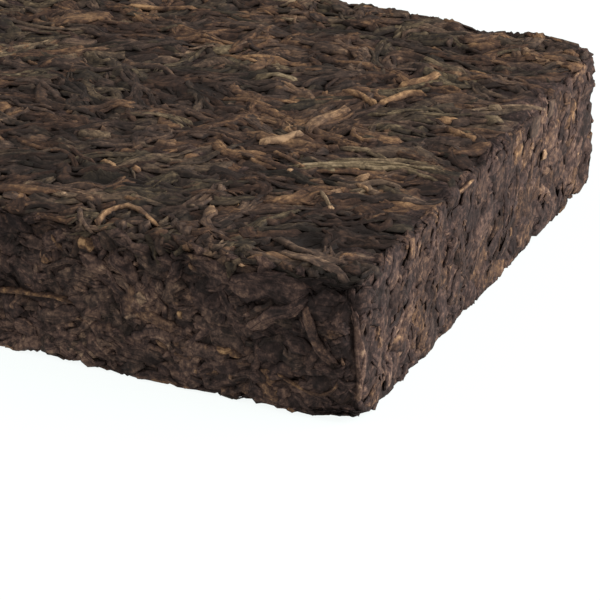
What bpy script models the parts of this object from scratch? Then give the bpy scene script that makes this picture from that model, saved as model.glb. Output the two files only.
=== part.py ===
"""A brick of pu erh tea: steamed leaves pressed in a mould into one block.

The block is a rectangle with round upright corners and softly rounded top and bottom edges.
Its faces are uneven, because bundles of leaves lie in them over one another, mostly along
the brick, and a few have broken away along the edges. The underside is flat where the brick
rests. Run it with: blender --background --python part.py
"""

import math

import bmesh
import bpy
import numpy as np

# The brick, in metres. Its origin is in the middle of the underside.
LENGTH = 0.148
WIDTH = 0.098
THICKNESS = 0.025
SIZE = np.array((LENGTH, WIDTH, THICKNESS))

# The mould's inside radii.
CORNER_RADIUS = 0.0045
TOP_RADIUS = 0.0040
BOTTOM_RADIUS = 0.0022

# The surface is cut into cells, with one more cut part of the way round each rounded edge.
CELL = 0.0029
EDGE_CUT = 1 - math.tan(math.radians(22.5))

# Bundles of leaves pressed into the walls: half their length and width, how proud of the
# hollows they stand, and how far they turn from the brick's length.
SEED = 7
BUNDLE_AREA = 0.000036
BUNDLE_HALF_LENGTH = (0.0070, 0.0125)
BUNDLE_HALF_WIDTH = (0.0026, 0.0044)
BUNDLE_HEIGHT = (0.0007, 0.0015)
BUNDLE_TURN = math.radians(38)
RELIEF_DEPTH = 0.0015
SAME_WALL = 0.35

# Notches along the edges, where leaves have broken away.
NOTCH_SPACING = 0.019
NOTCH_RADIUS = (0.0030, 0.0060)
NOTCH_DEPTH = (0.0006, 0.0018)

LEAF_COLOUR = (0.050, 0.033, 0.025, 1.0)
LEAF_ROUGHNESS = 0.65


def clear_scene():
    for item in list(bpy.data.objects):
        bpy.data.objects.remove(item)


def cut_positions(length, radius):
    """Where one side of the box is cut: evenly between its rounded ends, and once inside each."""
    straight = length / 2 - radius
    even = np.linspace(-straight, straight, max(2, round(2 * straight / CELL) + 1))
    inside_arc = length / 2 - radius * EDGE_CUT
    return [-inside_arc, *even, inside_arc]


def cut_box():
    """A plain box standing on z = 0, cut into cells by planes across its three directions."""
    mesh = bmesh.new()
    bmesh.ops.create_cube(mesh, size=1.0)
    bmesh.ops.scale(mesh, vec=SIZE, verts=mesh.verts)
    radii = (CORNER_RADIUS, CORNER_RADIUS, TOP_RADIUS)
    for direction, length, radius in zip(np.eye(3), SIZE, radii):
        for position in cut_positions(length, radius):
            bmesh.ops.bisect_plane(
                mesh,
                geom=[*mesh.verts, *mesh.edges, *mesh.faces],
                plane_co=direction * position,
                plane_no=direction,
            )
    bmesh.ops.translate(mesh, vec=(0, 0, THICKNESS / 2), verts=mesh.verts)
    return mesh


def plan_distance(points):
    """How far points lie outside the mould's rectangle with round corners, less than zero
    inside it, and the level directions straight out from the wall there."""
    inner = SIZE[:2] / 2 - CORNER_RADIUS
    level = points[:, :2]
    beyond = level - np.clip(level, -inner, inner)
    reach = np.linalg.norm(beyond, axis=1)
    inside = np.abs(level) - inner
    nearest = np.eye(2)[inside.argmax(1)] * np.sign(level)
    outside = reach > 1e-9
    outward = np.where(outside[:, None], beyond / np.maximum(reach, 1e-9)[:, None], nearest)
    return np.where(outside, reach, inside.max(1)) - CORNER_RADIUS, outward


def mould_wall(points):
    """The places on the mould's wall that points of the box are pressed to, and the wall's
    outward directions there: the plan's wall turns into the top and bottom by an arc."""
    distance, outward = plan_distance(points)
    height = points[:, 2]
    radius = np.where(height > THICKNESS / 2, TOP_RADIUS, BOTTOM_RADIUS)
    centre_out = np.minimum(distance, -radius)
    centre_up = np.clip(height, radius, THICKNESS - radius)
    turn = np.stack([distance - centre_out, height - centre_up], 1)
    turn /= np.linalg.norm(turn, axis=1, keepdims=True)
    moved = (centre_out + radius * turn[:, 0] - distance)[:, None] * outward
    places = np.column_stack([points[:, :2] + moved, centre_up + radius * turn[:, 1]])
    return places, np.column_stack([outward * turn[:, :1], turn[:, 1]])


def scattered_on_walls(rng, count):
    """Places spread evenly over the top and the four sides, with the wall's direction there."""
    facings = np.array([(0, 0, 1), (1, 0, 0), (-1, 0, 0), (0, 1, 0), (0, -1, 0)], float)
    areas = np.array([np.prod(SIZE[facing == 0]) for facing in facings])
    facing = facings[rng.choice(len(facings), count, p=areas / areas.sum())]
    box = np.array((0.5, 0.5, 1.0)) * SIZE
    low = np.array((-0.5, -0.5, 0.0)) * SIZE
    spread = low + (box - low) * rng.random((count, 3))
    return np.where(facing > 0, box, np.where(facing < 0, low, spread)), facing


def pressed_bundles(rng, places, facings):
    """How far bundles of leaves stand proud at each place: each is a long flat dome, half an
    ellipse in section, that lies in its wall, and where some overlap the proudest shows."""
    count = round((LENGTH * WIDTH + 2 * (LENGTH + WIDTH) * THICKNESS) / BUNDLE_AREA)
    centres, walls = scattered_on_walls(rng, count)
    level = np.where(np.abs(walls[:, :1]) > 0.5, (0.0, 1.0, 0.0), (1.0, 0.0, 0.0))
    level = np.where(np.abs(walls[:, 1:2]) > 0.5, (1.0, 0.0, 0.0), level)
    turn = rng.normal(0, BUNDLE_TURN, count)[:, None]
    along = level * np.cos(turn) + np.cross(walls, level) * np.sin(turn)
    across = np.cross(walls, along)
    half_length = rng.uniform(*BUNDLE_HALF_LENGTH, count)
    half_width = rng.uniform(*BUNDLE_HALF_WIDTH, count)
    height = rng.uniform(*BUNDLE_HEIGHT, count)
    proud = np.zeros(len(places))
    for i in range(count):
        offset = places - centres[i]
        share = (offset @ along[i] / half_length[i]) ** 2
        share += (offset @ across[i] / half_width[i]) ** 2
        share[facings @ walls[i] < SAME_WALL] = 1
        proud = np.maximum(proud, height[i] * np.sqrt(np.clip(1 - share, 0, 1)))
    return proud


def broken_notches(rng, places):
    """How deep the broken places along the top edge are: round dips centred on the edge."""
    count = round(2 * (LENGTH + WIDTH) / NOTCH_SPACING)
    start = np.column_stack([SIZE[:2] * rng.uniform(-1, 1, (count, 2)), np.full(count, THICKNESS)])
    centres, _ = mould_wall(start)
    depth = np.zeros(len(places))
    for centre in centres:
        radius, deepest = rng.uniform(*NOTCH_RADIUS), rng.uniform(*NOTCH_DEPTH)
        share = np.linalg.norm(places - centre, axis=1) / radius
        depth = np.maximum(depth, deepest * np.clip(1 - share**2, 0, 1))
    return depth


def press(mesh):
    """Moves every point of the cut box to the mould's wall, and back from it by the relief.
    The flat underside has none."""
    rng = np.random.default_rng(SEED)
    places, facings = mould_wall(np.array([vertex.co for vertex in mesh.verts]))
    depth = RELIEF_DEPTH - pressed_bundles(rng, places, facings) + broken_notches(rng, places)
    depth[facings[:, 2] < -0.99] = 0
    pressed = places - facings * depth[:, None]
    low, high = pressed.min(0), pressed.max(0)
    fitted = (pressed - low) / (high - low) * SIZE - SIZE * (0.5, 0.5, 0.0)
    for vertex, place in zip(mesh.verts, fitted):
        vertex.co = place


def join_resting_face(mesh):
    """Joins the level cells of the underside into the one flat face that the brick rests on."""
    level = [face for face in mesh.faces if all(abs(v.co.z) < 1e-9 for v in face.verts)]
    bmesh.ops.dissolve_faces(mesh, faces=level, use_verts=False)


def leaf_material():
    material = bpy.data.materials.new("pressed_leaf")
    material.use_nodes = True
    shader = material.node_tree.nodes["Principled BSDF"]
    shader.inputs["Base Color"].default_value = LEAF_COLOUR
    shader.inputs["Roughness"].default_value = LEAF_ROUGHNESS
    shader.inputs["Metallic"].default_value = 0.0
    return material


def make_brick():
    mesh = cut_box()
    press(mesh)
    join_resting_face(mesh)
    bmesh.ops.recalc_face_normals(mesh, faces=mesh.faces)
    data = bpy.data.meshes.new("tea_brick")
    mesh.to_mesh(data)
    mesh.free()
    data.shade_smooth()
    data.materials.append(leaf_material())
    brick = bpy.data.objects.new("tea_brick", data)
    bpy.context.scene.collection.objects.link(brick)
    return brick


clear_scene()
make_brick()
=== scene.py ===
"""A brick of pu erh tea, dressed as it is made: leaves are laid in a mould layer upon layer,
each on those under it, and pressed against the mould's walls.

Lengths are in metres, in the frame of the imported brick: +X along it, +Y across it, +Z up.
"""

import bpy
import numpy as np
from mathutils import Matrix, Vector


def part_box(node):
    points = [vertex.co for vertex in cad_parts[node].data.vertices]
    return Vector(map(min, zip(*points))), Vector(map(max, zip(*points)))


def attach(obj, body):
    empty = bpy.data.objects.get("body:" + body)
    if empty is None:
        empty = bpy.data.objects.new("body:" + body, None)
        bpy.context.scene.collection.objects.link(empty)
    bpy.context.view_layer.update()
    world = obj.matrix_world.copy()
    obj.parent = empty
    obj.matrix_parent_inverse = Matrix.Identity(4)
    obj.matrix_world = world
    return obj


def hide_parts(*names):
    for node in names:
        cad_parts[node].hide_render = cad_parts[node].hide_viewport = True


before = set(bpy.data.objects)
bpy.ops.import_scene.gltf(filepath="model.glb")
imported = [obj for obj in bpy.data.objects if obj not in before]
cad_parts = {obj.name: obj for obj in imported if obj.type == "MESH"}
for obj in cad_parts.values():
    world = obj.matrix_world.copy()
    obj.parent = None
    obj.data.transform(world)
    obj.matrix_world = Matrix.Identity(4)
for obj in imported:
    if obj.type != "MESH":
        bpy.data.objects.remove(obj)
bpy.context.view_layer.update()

MM = 0.001

# ---------------------------------------------------------------------------- The mould
# The brick takes its shape from a steel mould: in plan a rectangle with round corners, with
# walls that turn into the top by a wider curve than into the bottom. Every leaf lies in one
# of its charts: the walls, unrolled along the outline, or the level plates above and below.
low, high = (np.array(corner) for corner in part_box("tea_brick"))
LENGTH, WIDTH, THICKNESS = high - low
CORNER_RADIUS, TOP_RADIUS, BOTTOM_RADIUS = 4.2 * MM, 2.2 * MM, 1.0 * MM
QUARTER = np.pi / 2
STRAIGHT_HALF = np.array((LENGTH, WIDTH)) / 2 - CORNER_RADIUS
OUTLINE = 4 * STRAIGHT_HALF.sum() + 4 * QUARTER * CORNER_RADIUS


def outline(along):
    """The plan's points and outward directions at distances along it, from the start of the
    +X end: each straight side is followed by a quarter circle."""
    sides = 2 * STRAIGHT_HALF[[1, 0, 1, 0]]
    starts = np.concatenate([[0], np.cumsum(sides + QUARTER * CORNER_RADIUS)])
    side = np.clip(np.searchsorted(starts, along % OUTLINE, side="right") - 1, 0, 3)
    run = along % OUTLINE - starts[side]
    straight = np.minimum(run, sides[side])
    turn = side * QUARTER + (run - straight) / CORNER_RADIUS
    outward = np.stack([np.cos(turn), np.sin(turn)], -1)
    forward = np.stack([-np.sin(side * QUARTER), np.cos(side * QUARTER)], -1)
    centre = STRAIGHT_HALF * np.array([(1, 1), (-1, 1), (-1, -1), (1, -1)])[side]
    point = centre - forward * (sides[side] - straight)[..., None] + CORNER_RADIUS * outward
    return point, outward


def walls(along, up):
    """Chart of the four walls: distance along the outline and height, which goes on round the
    top and bottom curves by arc length, and then level on the top and the underside."""
    point, outward = outline(along)
    over = up > THICKNESS / 2
    radius = np.where(over, TOP_RADIUS, BOTTOM_RADIUS)
    past = np.where(over, up - (THICKNESS - TOP_RADIUS), BOTTOM_RADIUS - up)
    turn = np.clip(past / radius, 0, QUARTER)
    level = np.maximum(past - QUARTER * radius, 0)
    inward = radius * (1 - np.cos(turn)) + level
    rise = np.minimum(past, 0) + radius * np.sin(turn)
    height = np.where(over, THICKNESS - TOP_RADIUS + rise, BOTTOM_RADIUS - rise)
    places = np.concatenate([point - outward * inward[..., None], height[..., None]], -1)
    sign = np.where(over, 1, -1)
    facing = [outward * np.cos(turn)[..., None], (sign * np.sin(turn))[..., None]]
    return places, np.concatenate(facing, -1)


def plate(x, y, top=True):
    """Chart of the top, or of the underside: x and y, which go on over the edge curve by arc
    length, and then straight along the wall."""
    level = np.stack([x, y], -1)
    beyond = level - np.clip(level, -STRAIGHT_HALF, STRAIGHT_HALF)
    reach = np.linalg.norm(beyond, axis=-1)
    outward = beyond / np.maximum(reach, 1e-9)[..., None]
    radius = TOP_RADIUS if top else BOTTOM_RADIUS
    sunk = np.maximum(reach - (CORNER_RADIUS - radius), 0)
    turn = np.clip(sunk / radius, 0, QUARTER)
    down = np.maximum(sunk - QUARTER * radius, 0)
    level = level + outward * (radius * np.sin(turn) - sunk)[..., None]
    drop = radius * (1 - np.cos(turn)) + down
    height = THICKNESS - drop if top else drop
    places = np.concatenate([level, height[..., None]], -1)
    up = np.cos(turn) if top else -np.cos(turn)
    return places, np.concatenate([outward * np.sin(turn)[..., None], up[..., None]], -1)


def underside(x, y):
    """Chart of the underside, which the plate's chart gives with its facing down."""
    return plate(x, y, top=False)


def ripple(points, wavelength, seed, waves=14):
    """A smooth uneven field of about -1 to 1: the sum of sine waves near one wavelength that
    run in random directions."""
    rng = np.random.default_rng(seed)
    directions = rng.normal(size=(waves, points.shape[-1]))
    directions /= np.linalg.norm(directions, axis=1, keepdims=True)
    lengths = wavelength * rng.uniform(0.65, 1.5, (waves, 1))
    phases = rng.uniform(0, 2 * np.pi, waves)
    angles = points @ (2 * np.pi * directions / lengths).T + phases
    return np.sin(angles).sum(-1) / np.sqrt(waves) / 0.9


# ----------------------------------------------------------------------------- The pile
# Leaves lie where they fall: each rests on the pile under it, leans with it, and raises it
# for the next. The pile's height over the core is kept in small cells along the mould.
CELL = 0.5 * MM
MARGIN = 3
pile_shape = np.ceil((high - low) / CELL).astype(int) + 2 * MARGIN
pile = np.zeros(pile_shape.prod(), np.float32)
rng = np.random.default_rng(7542)
laid = []

FINE_STEPS = 4
SINK = 0.2 * MM
DIP = 0.5 * MM
STIFF = 4
LEAN = 0.4 * MM


def pile_cells(places):
    """The number of the pile's cell that each place lies in."""
    cell = ((places - low) / CELL + MARGIN).astype(int)
    return np.ravel_multi_index(np.moveaxis(cell, -1, 0), pile_shape, mode="clip")


def evened(rows, reach):
    """Each row's running mean over reach neighbours along its second axis."""
    padded = np.pad(rows, ((0, 0), (reach, reach)), mode="edge").cumsum(1)
    padded = np.pad(padded, ((0, 0), (1, 0)))
    width = 2 * reach + 1
    return (padded[:, width:] - padded[:, :-width]) / width


def spread(n, size):
    """n places over a rectangle about the origin: one at random in each cell of a grid."""
    across = max(1, round(np.sqrt(n * size[1] / size[0])))
    along = int(np.ceil(n / across))
    number = rng.permutation(along * across)[:n]
    cell = np.stack([number // across, number % across], 1) + rng.random((n, 2))
    return (cell / (along, across) - 0.5) * size


def wave(fine, cycles, phase):
    """A sine along the strips, of so many cycles from end to end."""
    return np.sin(2 * np.pi * (cycles * fine + phase))


def steps_along(rings):
    """Shares of the length at which a strip of so many rings is laid: each ring, and between."""
    return np.linspace(0, 1, FINE_STEPS * (rings - 1) + 1)


def wandering(centres, turn, length, bend, sway, rings):
    """Middle lines of strips that turn by bend from end to end, and sway."""
    fine = steps_along(rings)
    heading = turn[:, None] + bend[:, None] * (fine - 0.5)
    heading = heading + sway * wave(fine, 1.3, rng.random((len(turn), 1)))
    step = length[:, None] * np.gradient(fine)
    line = (np.stack([np.cos(heading), np.sin(heading)], -1) * step[..., None]).cumsum(1)
    return line + (centres - line.mean(1))[:, None]


def lay(chart, line, width, thick, tone, hue, lines=7, fold=0.25, flat=4.0, blunt=4.0, twist=0.0,
        crumple=0.12, torn=1.0):
    """Lays strips along middle lines on the pile, and returns the arrays of their joined surface.

    A strip's width closes to round ends (sharper for a lower blunt), and each of its two edges
    is ragged by itself, more for a higher torn. Across it is an arch (squarer for a higher flat),
    with folds: some run
    round it by twist, and its lines rise and fall by themselves. Its bed is the pile under it,
    evened along its length; it leans with the pile, and its ends dip in."""
    n, steps = line.shape[:2]
    fine = np.linspace(0, 1, steps)
    own = rng.random((8, n, 1))
    step = np.gradient(line, axis=1)
    run = np.linalg.norm(step, axis=2)
    sideways = np.stack([-step[..., 1], step[..., 0]], -1) / run[..., None]
    run = run.cumsum(1) - run.sum(1, keepdims=True) / 2
    ending = np.abs(2 * fine - 1)
    taper = np.maximum(1 - ending**blunt, 0) ** 0.5
    half = width[:, None] / 2 * np.maximum(taper, 0.15)
    rag = [torn * (0.18 * wave(fine, 2.3, own[i]) + 0.16 * wave(fine, 6.1, own[i + 1])) for i in (1, 3)]

    def strip_chart(across):
        """Places and facings of the strips at shares of their half width."""
        edge = np.where(across < 0, 1 + rag[0][..., None], 1 + rag[1][..., None])
        at = line[:, :, None] + sideways[:, :, None] * (half[..., None] * edge * across)[..., None]
        return chart(at[..., 0], at[..., 1])

    def arch(across):
        """The height of the arch as a share of the strip's thickness."""
        return (1 - 0.85 * np.abs(across) ** flat) * taper[:, None] ** 0.6

    even = np.linspace(-0.95, 0.95, max(5, int(width.max() / CELL)))
    places, _ = strip_chart(even)
    cells = pile_cells(places)
    under = pile[cells]
    bed = evened(0.5 * under.mean(2) + 0.5 * under.max(2), STIFF)
    lean = evened((under * even).sum(2) / (even**2).sum(), STIFF) + 0.25 * MM * (own[5] - 0.5)
    lean = np.clip(lean, -LEAN, LEAN)
    bed = bed - SINK - DIP * ending**6
    top = bed[..., None] + lean[..., None] * even + thick[:, None, None] * arch(even)
    np.maximum.at(pile, cells.ravel(), top.astype(np.float32).ravel())

    # Each ring is the lines over the strip, which crowd at its edges, and one back under it.
    across = np.sin(np.linspace(-QUARTER, QUARTER, lines))
    turns = rng.normal(0, 1, (n, 1, 1)) * twist
    phases = rng.random((2, n, 1, lines))
    folds = wave(fine[:, None], 0.9, phases[0]) + 0.6 * wave(fine[:, None], 3.1, phases[1])
    coils = wave(fine[:, None], turns, 0.8 * across + own[6][..., None])
    folds = folds + (1.2 * coils if twist else 0)
    inner = 1 - 0.7 * across**8
    share = arch(across) + inner * (fold * folds + crumple * rng.normal(size=(n, steps, lines)))
    top = bed[..., None] + lean[..., None] * across + thick[:, None, None] * share
    foot = (bed - 0.5 * thick[:, None])[..., None]
    places, facings = strip_chart(across)
    middle, middle_facing = chart(line[..., 0], line[..., 1])

    def closed(rows, last):
        """The rings' lines, and the one under them."""
        return np.concatenate([rows, last], 2)[:, ::FINE_STEPS]

    plain = np.zeros_like(top)
    over = half[..., None] * (across + 0.9 * turns * (fine[:, None] - 0.5))
    grain = np.stack([run[..., None] + plain, over + plain, rng.random((n, 1, 1)) + plain], -1)
    shade = tone[:, None, None] + 0.2 * (own[7][..., None] - 0.5) * (fine[:, None] - 0.5) + plain
    hue = hue[:, None, None] + plain
    return {
        "tone": closed(shade, shade[:, :, :1]),
        "hue": closed(hue, hue[:, :, :1]),
        "place": closed(places, middle[:, :, None]),
        "facing": closed(facings, middle_facing[:, :, None]),
        "height": np.maximum(closed(top, foot), 0),
        # The line under the strip gets a low share, so its colour is darkened there: painted shade under the
        # strip.
        "share": closed(share, 0 * foot - 0.3),
        "grain": closed(grain, grain[:, :, :1]),
    }


def joined_strips(name, batches):
    """One mesh of all the batches' strips: each is a tube of rings, closed by a cap at both ends.

    Each strip has its own cell of the UV map, with its length along the cell and its girth
    across. The press gives the mesh its places."""
    strips = sum(len(batch["height"]) for batch in batches)
    columns = int(np.ceil(np.sqrt(strips)))
    corners, sizes, uvs, first_strip, first_vertex = [], [], [], 0, 0
    parts = {
        key: np.concatenate([batch[key].reshape(-1, *batch[key].shape[3:]) for batch in batches])
        for key in batches[0]
    }
    for batch in batches:
        n, rings, around = batch["height"].shape
        number = first_vertex + np.arange(n * rings * around).reshape(n, rings, around)
        nxt = np.roll(number, -1, axis=2)
        quads = np.stack([number[:, 1:], nxt[:, 1:], nxt[:, :-1], number[:, :-1]], -1)
        caps = np.concatenate([number[:, 0], number[:, -1, ::-1]])
        corners += [quads.ravel(), caps.ravel()]
        sizes += [np.full(quads.size // 4, 4), np.full(len(caps), around)]
        strip = first_strip + np.arange(n)
        ring, girth = np.meshgrid(np.arange(rings), np.arange(around + 1), indexing="ij")
        inside = 0.06 + 0.88 * np.stack([ring / (rings - 1), girth / around], -1)
        cell = np.stack([strip % columns, strip // columns], -1)
        unit = (cell[:, None, None] + inside) / columns
        quad_uv = np.stack([unit[:, 1:, :-1], unit[:, 1:, 1:], unit[:, :-1, 1:], unit[:, :-1, :-1]], -2)
        cap_uv = np.concatenate([unit[:, 0, :-1], unit[:, -1, :-1][:, ::-1]])
        uvs += [quad_uv.reshape(-1, 2), cap_uv.reshape(-1, 2)]
        first_strip += n
        first_vertex += number.size
    corners, sizes = np.concatenate(corners), np.concatenate(sizes)
    mesh = bpy.data.meshes.new(name)
    mesh.vertices.add(first_vertex)
    mesh.loops.add(len(corners))
    mesh.loops.foreach_set("vertex_index", corners.astype(np.int32))
    mesh.polygons.add(len(sizes))
    mesh.polygons.foreach_set("loop_start", (np.cumsum(sizes) - sizes).astype(np.int32))
    mesh.update(calc_edges=True)
    mesh.shade_smooth()
    flat_uv = np.concatenate(uvs).astype(np.float32).ravel()
    mesh.uv_layers.new(name="OFBake").uv.foreach_set("vector", flat_uv)
    piece = bpy.data.objects.new(name, mesh)
    bpy.context.scene.collection.objects.link(piece)
    laid.append((piece, parts))
    return piece


def linked(tree, kind, values=(), **settings):
    """A new shader node with its settings made and its inputs set or linked by name."""
    node = tree.nodes.new(kind)
    for key, value in settings.items():
        setattr(node, key, value)
    for key, value in dict(values).items():
        if isinstance(value, bpy.types.NodeSocket):
            tree.links.new(value, node.inputs[key])
        else:
            node.inputs[key].default_value = value
    return node


def ramp(tree, level, tones):
    """A colour ramp through (position, colour) tones."""
    node = linked(tree, "ShaderNodeValToRGB", {"Fac": level})
    while len(node.color_ramp.elements) < len(tones):
        node.color_ramp.elements.new(0.5)
    for element, (position, colour) in zip(node.color_ramp.elements, tones):
        element.position = position
        element.color = (*colour, 1)
    return node.outputs["Color"]


def blend(tree, pairs):
    """The sum of socket times share over pairs of the two."""
    total = 0.0
    for socket, share in pairs:
        node = linked(tree, "ShaderNodeMath", {0: socket, 1: share, 2: total}, operation="MULTIPLY_ADD")
        total = node.outputs[0]
    return total


def leaf_finish(name, olive, brown, gold, fibres, tears, speckle, rough, bump):
    """Dry tea leaf. Its level, dark to pale, is its own tone, broken up by its fibres, which also
    roughen it, by narrow tears along it, dark as painted shade in the cracks, and by a mottling
    through the brick. Its hue goes through three ramps of colours. Fibres, tears and speckle are
    shares, and bump is the relief's depth."""
    material = bpy.data.materials.new(name)
    material.use_nodes = True
    tree = material.node_tree
    tree.nodes.clear()
    grain = linked(tree, "ShaderNodeAttribute", attribute_name="leaf_grain").outputs["Vector"]
    look = linked(tree, "ShaderNodeAttribute", attribute_name="leaf_look").outputs["Vector"]
    look = linked(tree, "ShaderNodeSeparateXYZ", {"Vector": look}).outputs
    place = linked(tree, "ShaderNodeTexCoord").outputs["Object"]
    space = linked(tree, "ShaderNodeMapping", {"Vector": grain, "Scale": (240, 1900, 90)}).outputs[0]
    noise = "ShaderNodeTexNoise"
    fine = {"Detail": 2.5, "Roughness": 0.65, "Distortion": 0.6}
    fibre = linked(tree, noise, {"Vector": space, "Scale": 1.0, **fine}).outputs["Fac"]
    mottle = linked(tree, noise, {"Vector": place, "Scale": 950.0, "Detail": 4.0, "Roughness": 0.75})
    mottle = mottle.outputs["Fac"]
    drift = linked(tree, noise, {"Vector": place, "Scale": 170.0, "Detail": 2.0}).outputs["Fac"]
    along = linked(tree, "ShaderNodeMapping", {"Vector": grain, "Scale": (130, 480, 70)}).outputs[0]
    torn = linked(tree, noise, {"Vector": along, "Scale": 1.0, "Detail": 1.5, "Distortion": 0.8})
    torn = torn.outputs["Fac"]
    torn = linked(tree, "ShaderNodeMath", {0: torn, 1: -0.5}, operation="ADD").outputs[0]
    torn = linked(tree, "ShaderNodeMath", {0: torn}, operation="ABSOLUTE").outputs[0]
    limits = {"From Min": 0.0, "From Max": 0.05, "To Min": -1.0, "To Max": 0.0}
    torn = linked(tree, "ShaderNodeMapRange", {"Value": torn, **limits},
                  interpolation_type="SMOOTHSTEP").outputs["Result"]
    even_out = -0.3 - 0.5 * fibres - 0.5 * speckle + 0.03 * tears
    # The tears darken the level along narrow lines: painted shade in the cracks.
    level = blend(tree, [(fibre, fibres), (mottle, speckle), (drift, 0.6), (torn, 0.16 * tears),
                         (look[0], 1.0), (1.0, even_out)])
    hue = blend(tree, [(look[1], 1.0), (drift, 0.5), (mottle, 0.2), (1.0, -0.35)])
    colour = ramp(tree, level, brown)
    for shades, start, end in ((olive, 0.45, 0.0), (gold, 0.55, 1.0)):
        limits = {"From Min": start, "From Max": end, "To Min": 0.0, "To Max": 1.0}
        factor = linked(tree, "ShaderNodeMapRange", {"Value": hue, **limits}).outputs["Result"]
        pair = {"Factor": factor, 6: colour, 7: ramp(tree, level, shades)}
        colour = linked(tree, "ShaderNodeMix", pair, data_type="RGBA").outputs[2]
    limits = {"From Min": 0.3, "From Max": 0.7, "To Min": rough[0], "To Max": rough[1]}
    roughness = linked(tree, "ShaderNodeMapRange", {"Value": fibre, **limits}).outputs["Result"]
    wrinkle = blend(tree, [(mottle, speckle), (fibre, fibres), (torn, 0.5 * tears)])
    relief = linked(tree, "ShaderNodeBump", {"Height": wrinkle, "Strength": 1.0, "Distance": bump})
    finish = {
        "Base Color": colour,
        "Roughness": roughness,
        "Normal": relief.outputs["Normal"],
        "Specular IOR Level": 0.08,
    }
    surface = linked(tree, "ShaderNodeBsdfPrincipled", finish)
    linked(tree, "ShaderNodeOutputMaterial", {"Surface": surface.outputs["BSDF"]})
    return material


OLIVE = [
    (0.00, (0.0105, 0.0083, 0.0068)),
    (0.28, (0.0218, 0.0166, 0.0125)),
    (0.50, (0.0465, 0.0340, 0.0222)),
    (0.74, (0.1110, 0.0808, 0.0470)),
    (1.00, (0.2560, 0.1900, 0.1160)),
]
BROWN = [
    (0.00, (0.0110, 0.0080, 0.0068)),
    (0.28, (0.0232, 0.0160, 0.0132)),
    (0.50, (0.0480, 0.0312, 0.0238)),
    (0.74, (0.1070, 0.0685, 0.0465)),
    (1.00, (0.2600, 0.1730, 0.1080)),
]
MAUVE = [
    (0.00, (0.0112, 0.0076, 0.0070)),
    (0.28, (0.0238, 0.0153, 0.0136)),
    (0.50, (0.0505, 0.0308, 0.0255)),
    (0.74, (0.1130, 0.0680, 0.0500)),
    (1.00, (0.2600, 0.1700, 0.1120)),
]
GOLD = [
    (0.00, (0.0115, 0.0076, 0.0062)),
    (0.28, (0.0260, 0.0155, 0.0118)),
    (0.50, (0.0570, 0.0320, 0.0210)),
    (0.74, (0.1360, 0.0760, 0.0400)),
    (1.00, (0.3000, 0.1800, 0.0920)),
]
rolled_leaf = leaf_finish("rolled_leaf", OLIVE, BROWN, GOLD, 0.45, 0.9, 1.1, (0.6, 0.9), 0.1 * MM)
crushed_leaf = leaf_finish("crushed_leaf", BROWN, MAUVE, GOLD, 0.25, 1.0, 1.65, (0.6, 0.9), 0.14 * MM)

# ----------------------------------------------------------------------------- The core
# Under the leaves that show, the brick is a dense mass of leaf and tea dust. It is seen only
# as the dark floor of gaps, so it is one closed shell with low lumps.
CORE_AROUND, CORE_DOWN = 420, 96


def core_grid():
    """Rings of the mould's outline, which a profile carries from the middle of the top over
    the wall to the middle of the underside, with their facings."""
    along = np.linspace(0, OUTLINE, CORE_AROUND, endpoint=False)
    flat_top = np.linspace(0.02, 1, 34, endpoint=False)
    up = np.linspace(THICKNESS - TOP_RADIUS + QUARTER * TOP_RADIUS,
                     BOTTOM_RADIUS - QUARTER * BOTTOM_RADIUS, CORE_DOWN - 68)
    edge, _ = walls(along, np.full_like(along, up[0]))
    foot, _ = walls(along, np.full_like(along, up[-1]))
    top = edge[None] * np.array((1, 1, 0)) * flat_top[:, None, None] + (0, 0, THICKNESS)
    base = foot[None] * np.array((1, 1, 0)) * flat_top[::-1, None, None]
    side, facing = walls(np.broadcast_to(along, (len(up), len(along))),
                         np.broadcast_to(up[:, None], (len(up), len(along))))
    places = np.concatenate([top, side, base])
    return places, np.concatenate([top * 0 + (0, 0, 1), facing, base * 0 + (0, 0, -1)])


core_places, core_facings = core_grid()
core_number = np.arange(core_places.shape[0] * core_places.shape[1]).reshape(core_places.shape[:2])
core_next = np.roll(core_number, -1, axis=1)
core_quads = np.stack([core_number[:-1], core_number[1:], core_next[1:], core_next[:-1]], -1)
core_mesh = bpy.data.meshes.new("packed_core")
core_faces = [*core_quads.reshape(-1, 4).tolist(), core_number[0].tolist(), core_number[-1, ::-1].tolist()]
core_mesh.from_pydata(core_places.reshape(-1, 3).tolist(), [], core_faces)
core_mesh.shade_smooth()
core = bpy.data.objects.new("packed_core", core_mesh)
bpy.context.scene.collection.objects.link(core)
core_mesh.materials.append(crushed_leaf)
lumps = 0.4 * MM * (1 + ripple(core_places, 5 * MM, 31))
laid.append((core, {
    "place": core_places, "facing": core_facings, "height": lumps, "share": 0 * lumps + 0.7,
    "tone": 0 * lumps + 0.36, "hue": 0 * lumps + 0.4, "grain": core_places,
}))
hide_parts("tea_brick")
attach(core, "root")
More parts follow.
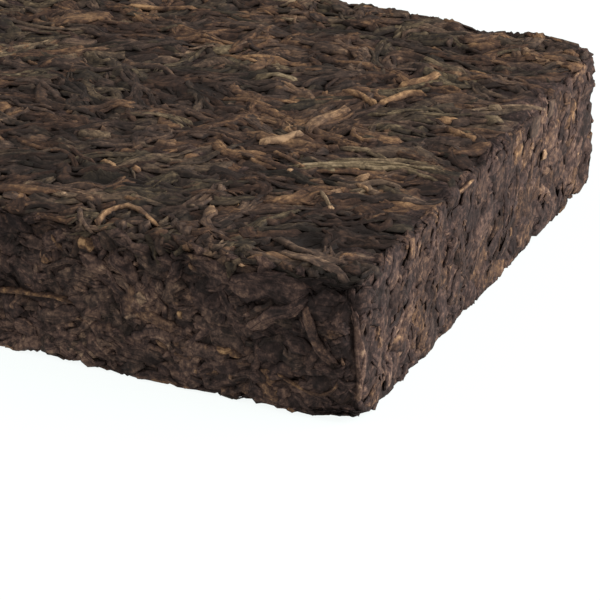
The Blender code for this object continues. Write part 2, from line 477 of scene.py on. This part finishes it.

# ---------------------------------------------------------------------- The under leaves
# Broad leaf pieces, crumpled and torn, lie deepest. Between the outer leaves they show as
# dull flats, given a darker tone than the outer leaves as painted shade of the gaps.
WALL_MIDDLE = np.array((OUTLINE, THICKNESS)) / 2
PLATE_SIZE = np.array((LENGTH - 9 * MM, WIDTH - 1 * MM))
WALL_SIZE = np.array((OUTLINE, THICKNESS + 1.0 * MM))
AT_ONCE = 130
# Patches of paler or darker, more golden or redder leaves; the rows so marked are painted shade over hollows.
PATCHES = [
    ((14, -33, 25), 13, -0.11, 0.0),
    ((3, 2, 25), 9, -0.1, 0.0),
    ((55, -14, 25), 9, 0.07, -0.1),
    ((50, 15, 25), 9, 0.06, 0.25),
    ((-9, 20, 25), 8, 0.06, 0.4),
    ((33, 29, 25), 6, 0.04, 0.25),
    ((42, -9, 25), 7, 0.04, 0.35),
    ((58, -24, 25), 4, 0.04, 0.2),
    # Painted shade: the next two rows darken the top along the +X edge over its hollows.
    ((68, -29, 25), 6, -0.20, 0.0),
    ((72, -15, 25), 5, -0.10, 0.0),
    ((69, -48, 18), 10, -0.05, 0.0),
    ((74, 19, 20), 9, 0.08, 0.0),
    # Painted shade: darkens the hollow at the near corner's top edge.
    ((68, -48, 23), 4, -0.20, 0.0),
    ((12, 6, 25), 15, -0.09, 0.0),
    ((8, -20, 25), 15, -0.06, 0.0),
    ((16, -47, 25), 12, -0.105, 0.1),
    ((38, -46, 25), 15, -0.06, 0.0),
    ((60, -38, 25), 12, -0.085, 0.0),
    ((75, 46, 6), 9, 0.13, 0.0),
    ((75, 0, 10), 48, -0.062, 0.2),
    ((74, 22, 18), 9, 0.05, 0.1),
    ((74, 10, 11), 7, -0.08, 0.0),
    ((74, -14, 12), 9, -0.07, 0.0),
    ((74, -2, 22), 6, -0.09, 0.0),
    ((74, -34, 7), 7, 0.07, 0.0),
    ((75, -44, 20), 7, -0.10, 0.0),
    ((20, -50, 12), 20, 0.085, -0.15),
    ((58, -50, 12), 18, 0.02, -0.15),
    ((30, -50, 22), 13, 0.07, -0.1),
    ((28, -50, 3), 9, -0.07, 0.0),
    ((52, -21, 25), 6, 0.1, 0.0),
    ((67, -37, 25), 5, 0.1, 0.0),
    ((40, -12, 25), 7, -0.09, 0.0),
    ((64, -5, 25), 4, 0.09, 0.0),
    # Painted shade: darkens the top over the hollow near the +X edge.
    ((72, 12, 25), 5, -0.09, 0.0),
    ((20, 36, 25), 10, 0.07, 0.1),
]
PATCH_LENGTH = 17 * MM
END_WALL_HEADING = 0.9


def patched(places):
    """What the named patches add to tone and hue at places: each has a middle and a radius in mm,
    a tone and a hue, and fades out from its middle."""
    total = np.zeros((len(places), 2))
    for middle, radius, *shift in PATCHES:
        away = np.linalg.norm(places / MM - middle, axis=-1) / radius
        total = total + np.exp(-(away**2))[:, None] * shift
    return total


def strewn(chart, n, length, width, thick, rings, lines, heading=0.0, spin=0.6, flow=0.0, bend=0.35,
           sway=0.3, bundle=1, tone=(0.4, 0.08, 0.0), hue=(0.5, 0.25), patch=0.08, centres=None, **shape):
    """Batches of n random strips on a chart, their sizes between two limits in mm. They lie at a
    heading, spread by spin and by a slow flow; on the two end walls they stand up instead.
    A bundle of strips lies side by side, and shares a tone, dark to pale, and a hue, olive to
    red, which have a middle and a reach, and drift by patch over the brick. A share of them is
    paler, and is gold or orange."""
    size, middle = (WALL_SIZE, WALL_MIDDLE) if chart is walls else (PLATE_SIZE, 0)
    groups = -(-n // bundle)
    centres = spread(groups, size) + middle if centres is None else centres
    turn = rng.normal(heading, spin, groups) + flow * ripple(centres, 34 * MM, 41)
    if chart is walls:
        _, outward = outline(centres[:, 0])
        turn = turn + END_WALL_HEADING * (np.abs(outward[:, 0]) > 0.7)
    at = chart(*centres.T)[0]
    paler = rng.random(groups) < tone[2]
    tint = rng.normal(tone[0], tone[1], groups) + patch * ripple(at, PATCH_LENGTH, 42)
    tint = tint + paler * rng.uniform(0.08, 0.22, groups)
    cast = rng.normal(hue[0], hue[1], groups) + 2.5 * patch * ripple(at, PATCH_LENGTH, 43)
    tint, cast = np.stack([tint, cast]) + patched(at).T
    cast = np.where(paler, np.where(rng.random(groups) < 0.5, 0.1, 1.1), cast)
    bends = rng.standard_t(3, groups) * bend
    centres, turn, tint, cast, bends = (
        np.repeat(each, bundle, 0)[:n] for each in (centres, turn, tint, cast, bends)
    )
    if bundle > 1:
        aside = rng.uniform(-1, 1, n) * bundle * 0.35 * width[0] * MM
        ahead = rng.uniform(-0.3, 0.3, n) * length[0] * MM
        centres = centres + np.stack(
            [ahead * np.cos(turn) - aside * np.sin(turn), ahead * np.sin(turn) + aside * np.cos(turn)], -1
        )
        turn = turn + rng.normal(0, 0.12, n)
        tint = tint + rng.normal(0, 0.05, n)
    limits = np.array([length, width, thick])[..., None] * MM
    sizes = limits[:, 0] + (limits[:, 1] - limits[:, 0]) * rng.beta(1.5, 2.6, (3, n))
    line = wandering(centres, turn, sizes[0], bends, sway, rings)
    return [
        lay(chart, line[some], *sizes[1:, some], tint[some], cast[some], lines, **shape)
        for some in np.array_split(np.arange(n), max(1, n // AT_ONCE))
    ]


def dressed(piece, finish):
    """A piece of leaves gets its finish and moves with the brick."""
    piece.data.materials.append(finish)
    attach(piece, "root")


# Painted shade: the deepest leaves get a darker tone than the outer ones.
DEEP_SHADE = {"tone": (0.26, 0.08, 0.0), "hue": (0.5, 0.2)}
under = []
for chart in (plate, underside, walls):
    under += strewn(chart, 390, (9, 18), (3, 7), (0.4, 0.7), 6, 7, spin=0.9, flat=6, blunt=6, **DEEP_SHADE)
dressed(joined_strips("under_leaves", under), crushed_leaf)

# ----------------------------------------------------------------------- The wall leaves
# Against the walls of the mould leaves are crushed edgeways into short broad flakes.
DULL = {"tone": (0.42, 0.06, 0.0), "hue": (0.5, 0.16), "patch": 0.03}
GOLDEN = {"tone": (0.41, 0.07, 0.03), "hue": (0.6, 0.25), "patch": 0.03}
CRUSHED = {"spin": 0.6, "fold": 0.16, "crumple": 0.18, "sway": 0.2, "torn": 1.7}


def fewer_on_ends(n):
    """n places on the walls, less than half as dense on the two end walls."""
    centres = spread(2 * n, WALL_SIZE) + WALL_MIDDLE
    _, outward = outline(centres[:, 0])
    kept = (np.abs(outward[:, 0]) < 0.7) | (rng.random(len(centres)) < 0.4)
    return centres[kept][:n]


flakes = strewn(walls, 850, (6, 14), (3.0, 8.0), (0.3, 0.6), 7, 9, flat=10, blunt=3.5, **CRUSHED, **DULL)
flakes += strewn(walls, 560, (5, 13), (1.0, 3.0), (0.3, 0.6), 7, 9, bend=0.8, flat=6,
                 centres=fewer_on_ends(560), **CRUSHED, **DULL)
dressed(joined_strips("wall_flakes", flakes), crushed_leaf)

# ---------------------------------------------------------------------- The base leaves
# Under the brick the leaves were pressed flat against the mould's plate, in all directions:
# broad flat pieces, with bundles of narrower ones over them.
MIXED = {"tone": (0.41, 0.08, 0.045), "hue": (0.5, 0.42)}
PLAIN = {"tone": (0.40, 0.08, 0.0), "hue": (0.5, 0.4)}
base = strewn(underside, 400, (9, 20), (2.4, 6.0), (0.4, 0.8), 7, 9, spin=0.8, flat=7, **PLAIN)
base += strewn(underside, 420, (7, 20), (1.2, 3.5), (0.4, 0.7), 8, 7, spin=0.8, flat=5, bundle=3, **MIXED)
dressed(joined_strips("base_leaves", base), crushed_leaf)

# ------------------------------------------------------------------------ The top leaves
# The top shows what the tea is: leaves rolled and twisted into strips, which lie mostly one way.
# Broad ones lie under, more of them wherever the pile has gaps, and thin bundles over them.
BLUR = 8


def blurred(field):
    """A box blur of a field over the pile's cells, twice along each of the three axes."""
    for axis in (0, 1, 2, 0, 1, 2):
        cells = field.shape[axis]
        pad = [(0, 0)] * 3
        pad[axis] = (BLUR + 1, BLUR)
        total = np.pad(field, pad).cumsum(axis)
        ahead = np.take(total, range(2 * BLUR + 1, 2 * BLUR + 1 + cells), axis)
        field = ahead - np.take(total, range(cells), axis)
    return field


def usual_height():
    """The pile's height, averaged around each of its cells over those that hold leaves."""
    heights = pile.reshape(pile_shape).astype(float)
    return (blurred(heights) / np.maximum(blurred((heights > 0).astype(float)), 1e-9)).ravel()


def gaps(chart, n):
    """The n places on a chart at which the pile lies deepest under its usual height."""
    size, middle = (WALL_SIZE, WALL_MIDDLE) if chart is walls else (PLATE_SIZE, 0)
    centres = spread(8 * n, size) + middle
    cells = pile_cells(chart(*centres.T)[0])
    deepest = np.argsort(pile[cells] - usual_height()[cells])[:n]
    return centres[rng.permutation(deepest)]


ALONG = {"heading": 0.28, "flow": 0.45}
top = strewn(plate, 560, (8, 20), (2.6, 7.0), (0.4, 0.8), 7, 9, spin=0.35, bend=0.7, sway=0.4,
             flat=6, blunt=6, fold=0.3, **ALONG, **PLAIN)
for _ in range(2):
    top += strewn(plate, 220, (7, 14), (2.0, 5.0), (0.4, 0.8), 7, 7, flat=6,
                  centres=gaps(plate, 220), **ALONG, **PLAIN)
dressed(joined_strips("top_broad_leaves", top), rolled_leaf)
top = strewn(plate, 560, (8, 20), (1.5, 3.2), (0.45, 0.8), 9, 7, spin=0.5, bend=1.1, sway=0.6,
             flat=2.6, twist=1.6, blunt=5, bundle=2, **ALONG, **MIXED)
top += strewn(plate, 660, (8, 24), (0.9, 2.0), (0.3, 0.55), 9, 7, spin=0.35, bundle=3, **ALONG, **MIXED)
dressed(joined_strips("top_strands", top), rolled_leaf)

# ------------------------------------------------------------------------ The rim leaves
# Along both long top edges leaves were bent over the edge as the press closed. They lie short,
# thick and in all directions.
RIM_LEAVES = 320
RIM_BAND, RIM_FROM_MIDDLE = 12 * MM, 45 * MM
rim_places = spread(RIM_LEAVES, (LENGTH, RIM_BAND))
rim_places[:, 1] += rng.choice((-RIM_FROM_MIDDLE, RIM_FROM_MIDDLE), RIM_LEAVES)
rim = strewn(plate, RIM_LEAVES, (3, 9), (1.6, 3.6), (0.5, 0.9), 6, 7, spin=1.2, bend=1.0, fold=0.35, flat=3.5,
             blunt=3.5, twist=1.0, centres=rim_places, **PLAIN)
dressed(joined_strips("rim_leaves", rim), rolled_leaf)

# ---------------------------------------------------------------------------- The shreds
# Torn shreds and crumbs of leaf fell in between the leaves while the mould was filled. On the
# walls they also fill the deepest gaps.
SMALL = {"rings": 4, "lines": 5, "blunt": 3.5, "fold": 0.3}
CRUMB = {"rings": 5, "lines": 7, "flat": 6, "fold": 0.3, "crumple": 0.2, "torn": 1.7}
shreds = strewn(walls, 380, (2, 6), (1.2, 3.2), (0.25, 0.5), **CRUMB, **DULL)
shreds += strewn(walls, 260, (5, 9), (2.0, 4.0), (0.4, 0.7), centres=gaps(walls, 260), **CRUMB, **DULL)
shreds += strewn(walls, 900, (2, 6), (0.5, 1.5), (0.2, 0.45), spin=0.6, bundle=2, bend=0.6,
                 centres=fewer_on_ends(450), **SMALL, **GOLDEN)
dressed(joined_strips("wall_shreds", shreds), crushed_leaf)
shreds = strewn(plate, 900, (3, 9), (0.5, 1.4), (0.25, 0.5), spin=0.5, bundle=2, bend=1.0,
                **SMALL, **ALONG, **MIXED)
shreds += strewn(underside, 700, (4, 12), (0.4, 1.4), (0.2, 0.45), spin=0.9, bundle=2, bend=0.8,
                 **SMALL, **MIXED)
dressed(joined_strips("loose_shreds", shreds), rolled_leaf)

# --------------------------------------------------------------------- The marked leaves
# Some leaves and stems stand out: tan stems, pale tips, which are dried buds, and long leaves
# that were laid last. Each is laid along a few given points in mm.


def front(x, up):
    """Chart of the front wall by x and height."""
    return walls(OUTLINE - QUARTER * CORNER_RADIUS - STRAIGHT_HALF[0] + x, up)


def end(y, up):
    """Chart of the wall at +X by y and height."""
    return walls(STRAIGHT_HALF[1] + y, up)


def traced(chart, points, width, thick, tone, hue, rings=9, **shape):
    """One strip laid through points: a polynomial that passes through them all, at shares of its
    length in proportion to the distances between them."""
    points = np.array(points) * MM
    at = np.append(0, np.linalg.norm(np.diff(points, axis=0), axis=1).cumsum())
    powers = np.arange(len(points))
    factors = np.linalg.solve((at[:, None] / at[-1]) ** powers, points)
    line = steps_along(rings)[:, None] ** powers @ factors
    sizes = np.array([[width], [thick]]) * MM
    return lay(chart, line[None], *sizes, np.array([tone]), np.array([hue]), **shape)


def bits(chart, rows):
    """Short straight pieces, each a row of its middle, length, width, heading, tone and hue."""
    x, y, length, width, heading, tone, hue = np.array(rows).T
    run = np.stack([np.cos(heading), np.sin(heading)], -1) * length[:, None]
    line = np.stack([x, y], -1)[:, None] + run[:, None] * (steps_along(5)[:, None] - 0.5)
    return lay(chart, line * MM, width * MM, 0 * width + 0.65 * MM, tone, hue, lines=7, flat=3.5, blunt=3.0)


STEM = {"flat": 2.2, "fold": 0.12, "blunt": 9, "lines": 7}
LEAFY = {"flat": 5.0, "fold": 0.35, "blunt": 3.0, "lines": 7}
marked = [
    # On the top, towards the +X end: a bundle of long olive leaves, and twisted ones by it.
    traced(plate, [(47, -17.5), (52.4, -14.3), (61, -10.2), (68, -9.4)], 0.9, 0.8, 0.66, -0.1, **LEAFY),
    traced(plate, [(46.5, -16.5), (52.4, -13.3), (60, -9.6), (66, -8.6)], 1.0, 0.9, 0.72, -0.2, **LEAFY),
    traced(plate, [(50, -13.8), (56.3, -10.4), (63, -8.2), (70, -8.0)], 0.9, 0.9, 0.66, 0.0, **LEAFY),
    traced(plate, [(51, -12.2), (56, -9.2), (62, -7.0), (68, -6.4)], 1.0, 0.8, 0.62, 0.1, **LEAFY),
    traced(plate, [(48.7, 6.1), (52.7, 8.8), (56.5, 11.9), (61, 12.6)], 1.1, 0.9, 0.55, -0.1, **LEAFY),
    traced(plate, [(57, 10.6), (61.4, 11.6), (65.6, 14)], 1.1, 0.9, 0.56, -0.1, **LEAFY),
    traced(plate, [(26.9, 11.4), (30, 14.1), (34.5, 13.6)], 2.4, 0.9, 0.58, -0.1, **LEAFY),
    traced(plate, [(11, -19.4), (14, -18.4), (17, -17.8)], 1.8, 0.8, 0.58, 0.2, **LEAFY),
    # Orange and tan stems: one turns as a V, one is a loop, one an arch.
    traced(plate, [(41.4, 12.4), (44, 13.4), (47.1, 12.4), (49.8, 10.8)], 1.1, 1.1, 0.68, 1.6, **STEM),
    traced(plate, [(49.2, 10.6), (50.6, 14), (52, 17.6), (55.6, 18.4)], 1.4, 1.1, 0.70, 1.05, **STEM),
    traced(plate, [(48.9, 19.2), (51.3, 21.7), (54, 27)], 1.6, 1.2, 0.74, 1.0, **STEM),
    traced(plate, [(50.2, 1.6), (50.6, -0.8), (52.9, -2.4), (55.4, -0.4)], 0.9, 0.9, 0.56, 1.25, **STEM),
    traced(plate, [(30, -47), (29, -42.4), (30.6, -39.6), (34.4, -40.8), (38.6, -43.2)],
           0.9, 1.1, 0.67, 0.85, **STEM),
    traced(plate, [(24.2, -42.5), (27.3, -47.4), (30, -50.4)], 1.0, 0.9, 0.56, 0.5, **STEM),
    traced(plate, [(41.6, -12), (45.9, -13.9), (50, -16.6)], 0.8, 0.8, 0.62, 0.95, **STEM),
    traced(plate, [(62.2, 8), (65.7, 6.6), (69.4, 5)], 1.3, 1.0, 0.65, 1.3, **STEM),
    traced(plate, [(56.5, 25.4), (59.5, 27), (63, 27.8)], 1.4, 0.9, 0.56, 1.25, **STEM),
    traced(plate, [(7, -43), (14.7, -40.6), (20, -39.6)], 2.4, 0.9, 0.47, 1.25, **LEAFY),
    # Long leaves along the near edge, and one that curls away from it.
    traced(plate, [(57, -43), (62, -43.6), (67, -45), (71.4, -46.4)], 2.3, 1.0, 0.53, 0.5, **LEAFY),
    traced(plate, [(55, -40), (60, -41), (64.6, -42.4), (69, -43)], 1.8, 1.0, 0.49, 0.4, **LEAFY),
    traced(plate, [(41.4, -33), (43.2, -36), (43.8, -39), (46.4, -41)], 1.9, 1.1, 0.50, 0.7, **LEAFY),
    # Pale tips.
    traced(plate, [(38.4, -10.8), (41.5, -6.8), (44, -3.6)], 1.8, 1.0, 0.85, 0.75, **LEAFY),
    traced(plate, [(44, -3.6), (43.6, 0.4), (45, 5), (46, 9)], 2.2, 1.1, 0.68, 0.8, **LEAFY),
    traced(plate, [(-14.4, 17), (-12.3, 19.4), (-9.4, 22), (-4.6, 24)], 4.2, 1.1, 0.59, 0.95, **LEAFY),
    traced(plate, [(-6, 28.4), (0, 31.2), (6.6, 33.7)], 1.2, 1.1, 0.72, 0.95, **LEAFY),
    traced(plate, [(54.9, -22.6), (56.7, -24.4), (58.6, -26.4)], 0.6, 0.8, 0.72, 0.2, **STEM),
    # Small golden, orange and pale bits.
    bits(plate, [
        (68.7, 13.5, 4, 2.6, 0.9, 0.66, 0.1), (67, 17.5, 3, 1.6, 0.4, 0.60, 0.1),
        (21, -27, 4.4, 0.9, -0.35, 0.80, 0.9), (26, -27.3, 1.8, 1.8, 0.2, 0.60, 1.0),
        (31.6, -19.4, 4, 0.9, 1.1, 0.60, 0.95), (20.2, -40, 1.1, 0.5, 0.6, 1.10, 0.4),
        (47.8, -18, 1.4, 1.4, 0, 0.84, 0.8), (59, -27, 1.4, 1.2, -0.8, 0.86, 0.75),
        (41, -28, 3.8, 1.2, -1.2, 0.66, 0.5), (58.6, -15, 4.6, 1.3, 0.8, 0.78, 0.8),
        (60, -17.9, 4.6, 0.8, -0.4, 0.72, 0.8), (25.6, -16.4, 5, 2.6, 0.4, 0.56, 0.8),
        (40, 11.4, 1.2, 1.2, 0, 0.56, 1.0),
    ]),
    bits(end, [(19.8, 21.4, 6, 4.6, 1.3, 0.52, 0.5), (26.5, 22, 5, 3.4, 1.2, 0.50, 0.5)]),
]
dressed(joined_strips("marked_leaves", marked), rolled_leaf)
marked = [
    # On the front wall: long leaves that stand out near the corner, and stems.
    traced(front, [(51, 19.4), (58, 20.4), (65.6, 21.6)], 4.6, 0.7, 0.38, 0.5, **LEAFY),
    traced(front, [(54.6, 12.6), (59.4, 15.9), (65.2, 19.8)], 2.4, 1.4, 0.46, 0.5, **LEAFY),
    traced(front, [(65, 19.4), (65.8, 14.6), (67.8, 11.6), (70.4, 9.6)], 1.9, 1.1, 0.48, 0.7, **LEAFY),
    traced(front, [(72.6, 20.4), (73.8, 16), (74.4, 9), (74.2, 2)], 1.7, 1.0, 0.52, 0.5, **LEAFY),
    traced(front, [(6, 10.6), (14, 10.2), (21, 11), (27, 10.2)], 0.9, 0.9, 0.55, 1.25, **STEM),
    traced(front, [(59, 7.2), (62.8, 5.2), (66.8, 4.4), (70.4, 8.6)], 0.6, 0.7, 0.56, 0.95, **STEM),
    bits(front, [
        (28, 21, 3.6, 2.2, -0.1, 0.84, 1.1), (21.2, 17, 2.0, 1.1, -0.2, 0.62, 0.95),
        (54.2, 23.6, 1.0, 0.8, 0, 0.80, 0.8), (36.6, 19.5, 1.2, 1.0, 0, 0.66, 0.7),
        (44.7, 25, 1.6, 1.0, 0.5, 0.60, 0.9), (43.9, 12.7, 1.4, 1.2, 0.3, 0.82, 0.95),
        (46, 21, 2.0, 0.9, -0.2, 0.58, 0.9), (48.3, 8.3, 0.9, 0.7, 0, 0.66, 0.8),
        (53, 8, 2.8, 1.4, -0.2, 0.52, 0.95), (46.7, 3.9, 0.8, 0.7, 0, 0.70, 0.8),
        (52.4, 4.2, 0.9, 0.7, 1.2, 0.64, 0.8), (70.9, 10.7, 1.8, 0.6, -1.0, 0.68, 0.9),
    ]),
    bits(end, [
        (24.4, 14.4, 2.6, 1.7, 1.4, 0.86, 0.8), (25, 11.2, 4, 1.3, -0.3, 0.66, 0.75),
        (9.7, 7, 2.2, 1.1, 1.5, 0.70, 1.2), (-9.5, 17.2, 1.4, 1.2, 1.2, 0.62, 0.8),
        (-3.3, 5.7, 1.0, 0.8, 0, 0.66, 0.4), (1.6, 5.3, 1.2, 0.8, 1.2, 0.60, 0.4),
        (8.4, 14.1, 1.6, 0.8, 1.5, 0.60, 0.3), (-8.6, 23.2, 8, 1.1, 0.1, 0.60, 0.85),
        (-19, 22, 5, 1.3, 1.2, 0.56, 0.6), (-29, 21.6, 6, 2, 1.4, 0.54, 0.75),
    ]),
]
dressed(joined_strips("marked_flakes", marked), crushed_leaf)

# ---------------------------------------------------------------------------- The press
# The press squeezes every column of the pile to one height against the mould, so leaves that
# stand proud are flattened, and gaps between them stay. Edges crumble as the brick is freed.
SWELL, SWELL_LENGTH = 0.3 * MM, 46 * MM
UNEVEN, UNEVEN_LENGTH = 0.14 * MM, 5 * MM
NOTCH, NOTCH_LENGTH, NOTCH_RARITY = 4.0 * MM, 9 * MM, 0.35
CHIP, CHIP_LENGTH = 2.4 * MM, 3.2 * MM
CREST, LOOSE = 0.42 * MM, 3.2 * MM
# Leaves sunk below the pile's usual height, in gaps and in the hollows, are darkened in colour: partly tea
# dust, partly painted shade.
GAP_DEPTH, GAP_DUST_AND_SHADE, RELIEF_SHADE_AND_HIGHLIGHT = 1.2 * MM, 0.22, 0.2
BELOW = 1.0
HOLLOWS = [
    ((70, -49, 22.5), 3.4, 2.6),
    ((64, -50, 21.5), 2.2, 1.8),
    ((74.5, 49.5, 0.5), 3.2, 2.6),
    ((74.0, 49.0, 8.5), 1.6, 2.0),
    ((74.0, 49.0, 15.0), 1.2, 1.5),
    ((74.0, 49.0, 21.5), 1.3, 1.2),
    ((75.0, 37.0, 0.5), 1.6, 1.2),
    ((75.0, 20.0, 0.5), 1.4, 1.0),
    ((75.0, -8.0, 0.5), 1.8, 1.1),
    ((66, -34, 25), 2.6, 1.1),
    ((60, -37, 25), 2.0, 0.9),
    ((71, -16, 25), 2.4, 1.1),
    ((72, 0, 25), 2.6, 1.2),
    ((72.5, 14, 25), 2.0, 0.9),
    ((15, -48, 23.5), 3.4, 1.2),
    ((28, -49, 23), 2.4, 0.9),
    ((24, -33, 25), 1.8, 0.8),
    ((53, 49.5, 25), 4.0, 1.7),
    ((71, -50, 0.5), 5.0, 1.4),
]


def hollow(places):
    """The depth of the named hollows, each a round dip with a middle, a radius and a depth in mm."""
    depth = 0
    for middle, radius, deep in HOLLOWS:
        away = np.linalg.norm(places - np.array(middle) * MM, axis=-1) / (radius * MM)
        depth = depth + deep * MM * np.exp(-(away**2))
    return depth


def set_back(places, facings):
    """How far the outer leaves stay behind the mould: a slow swell and finer unevenness
    everywhere but under the brick, and notches and chips on its edges."""
    swell = SWELL * (0.5 + 0.5 * ripple(places, SWELL_LENGTH, 21))
    swell = swell + UNEVEN * (1 + ripple(places, UNEVEN_LENGTH, 23))
    on_edge = 1 - np.abs(facings).max(-1)
    broken = np.clip(ripple(places, NOTCH_LENGTH, 22) - NOTCH_RARITY, 0, 1) * (facings[..., 2] > -0.1)
    chipped = np.clip(ripple(places, CHIP_LENGTH, 24), 0, 1)
    resting = np.clip(-facings[..., 2], 0, 1) ** 2
    return (1 - resting) * swell + on_edge * (NOTCH * broken + CHIP * chipped)


def between(field, places):
    """A field over the pile's cells at places between the cells' middles."""
    at = (places - low) / CELL + MARGIN - 0.5
    cell = np.floor(at).astype(int)
    part = at - cell
    total = 0
    for corner in np.ndindex(2, 2, 2):
        share = np.where(corner, part, 1 - part).prod(-1)
        number = np.ravel_multi_index(np.moveaxis(cell + corner, -1, 0), pile_shape, mode="clip")
        total = total + share * field[number]
    return total


usual = usual_height()
for piece, parts in laid:
    proud = parts["height"] - between(usual, parts["place"])
    limit = CREST + LOOSE * (1 - np.abs(parts["facing"]).max(-1))
    crest = limit * (1 - np.exp(-np.maximum(proud, 0) / limit))
    dip = hollow(parts["place"])
    out = np.where(proud > 0, crest, BELOW * proud) - CREST - dip
    out = out - set_back(parts["place"], parts["facing"])
    parts["proud"] = proud - dip
    parts["pressed"] = parts["place"] + parts["facing"] * out[..., None]
lowest = np.min([parts["pressed"].reshape(-1, 3).min(0) for _, parts in laid], axis=0)
highest = np.max([parts["pressed"].reshape(-1, 3).max(0) for _, parts in laid], axis=0)
for piece, parts in laid:
    fitted = low + (parts["pressed"] - lowest) / (highest - lowest) * (high - low)
    piece.data.vertices.foreach_set("co", fitted.astype(np.float32).ravel())
    grain = piece.data.attributes.new("leaf_grain", "FLOAT_VECTOR", "POINT")
    grain.data.foreach_set("vector", parts["grain"].astype(np.float32).ravel())
    # Colour: the deeper a leaf lies below the pile's usual height, the darker it is, as tea dust and as
    # painted shade; it is a little paler where it stands proud.
    depth = np.clip(parts["proud"] / GAP_DEPTH, -1, 0.1)
    # Each strip is darker in its grooves, at its edges and underneath, as painted shade, and paler on its
    # ridges, partly as wear and partly as painted highlight.
    level = parts["tone"] + RELIEF_SHADE_AND_HIGHLIGHT * (parts["share"] - 0.7) + GAP_DUST_AND_SHADE * depth
    shades = np.stack([level, parts["hue"], 0 * level], -1)
    look = piece.data.attributes.new("leaf_look", "FLOAT_VECTOR", "POINT")
    look.data.foreach_set("vector", shades.astype(np.float32).ravel())
    piece.data.update()

# ---------------------------------------------------------------------------- The stage
# A white table under soft light: a large low lamp to the right of the brick, a pale room.
FLOOR_REACH = 3.0
floor_mesh = bpy.data.meshes.new("floor")
floor_corners = [(x * FLOOR_REACH, y * FLOOR_REACH, 0) for x, y in ((-1, -1), (1, -1), (1, 1), (-1, 1))]
floor_mesh.from_pydata(floor_corners, [], [(0, 1, 2, 3)])
floor = bpy.data.objects.new("floor", floor_mesh)
bpy.context.scene.collection.objects.link(floor)
paper = bpy.data.materials.new("lit_paper")
paper.use_nodes = True
paper_surface = paper.node_tree.nodes["Principled BSDF"].inputs
paper_surface["Base Color"].default_value = (0.08, 0.083, 0.082, 1)
paper_surface["Roughness"].default_value = 0.9
paper_surface["Specular IOR Level"].default_value = 0.0
paper_surface["Emission Color"].default_value = (0.965, 1.0, 0.99, 1)
paper_surface["Emission Strength"].default_value = 0.93
floor_mesh.materials.append(paper)

world = bpy.data.worlds.new("studio")
world.use_nodes = True
world.node_tree.nodes["Background"].inputs["Color"].default_value = (0.98, 1.0, 0.99, 1)
world.node_tree.nodes["Background"].inputs["Strength"].default_value = 0.56
bpy.context.scene.world = world


def lamp(name, direction, distance, size, energy):
    """A square soft lamp that hangs in a direction from the brick and faces it."""
    light = bpy.data.lights.new(name, "AREA")
    light.size = size
    light.energy = energy
    direction = Vector(direction).normalized()
    holder = bpy.data.objects.new(name, light)
    holder.location = direction * distance
    holder.rotation_euler = direction.to_track_quat("Z", "Y").to_euler()
    bpy.context.scene.collection.objects.link(holder)


lamp("right_lamp", (1.0, 0.3, 0.42), 1.0, 0.9, 24.0)
lamp("left_lamp", (-1.0, -0.6, 0.85), 1.2, 0.6, 6.5)

# --------------------------------------------------------------------------- The camera
# A long lens looks down on the near corner of the brick.
AZIMUTH, ELEVATION = np.radians((25.45, 27.35))
LENS, SENSOR = 222.7, 36.0
DISTANCE = 548.2 * MM
RIGHT_OF_MIDDLE, BELOW_MIDDLE = 8.76 * MM, 19.66 * MM
back = np.array((
    np.sin(AZIMUTH) * np.cos(ELEVATION),
    -np.cos(AZIMUTH) * np.cos(ELEVATION),
    np.sin(ELEVATION),
))
rightward = np.cross(-back, (0, 0, 1))
rightward /= np.linalg.norm(rightward)
upward = np.cross(rightward, -back)
near_corner = np.array((LENGTH / 2, -WIDTH / 2, 0))
spot = near_corner + DISTANCE * back - RIGHT_OF_MIDDLE * rightward + BELOW_MIDDLE * upward
camera_data = bpy.data.cameras.new("camera")
camera_data.lens = LENS
camera_data.sensor_width = SENSOR
camera = bpy.data.objects.new("camera", camera_data)
camera.location = spot
camera.rotation_euler = Vector(back).to_track_quat("Z", "Y").to_euler()
bpy.context.scene.collection.objects.link(camera)
bpy.context.scene.camera = camera
bpy.context.scene.view_settings.view_transform = "Standard"
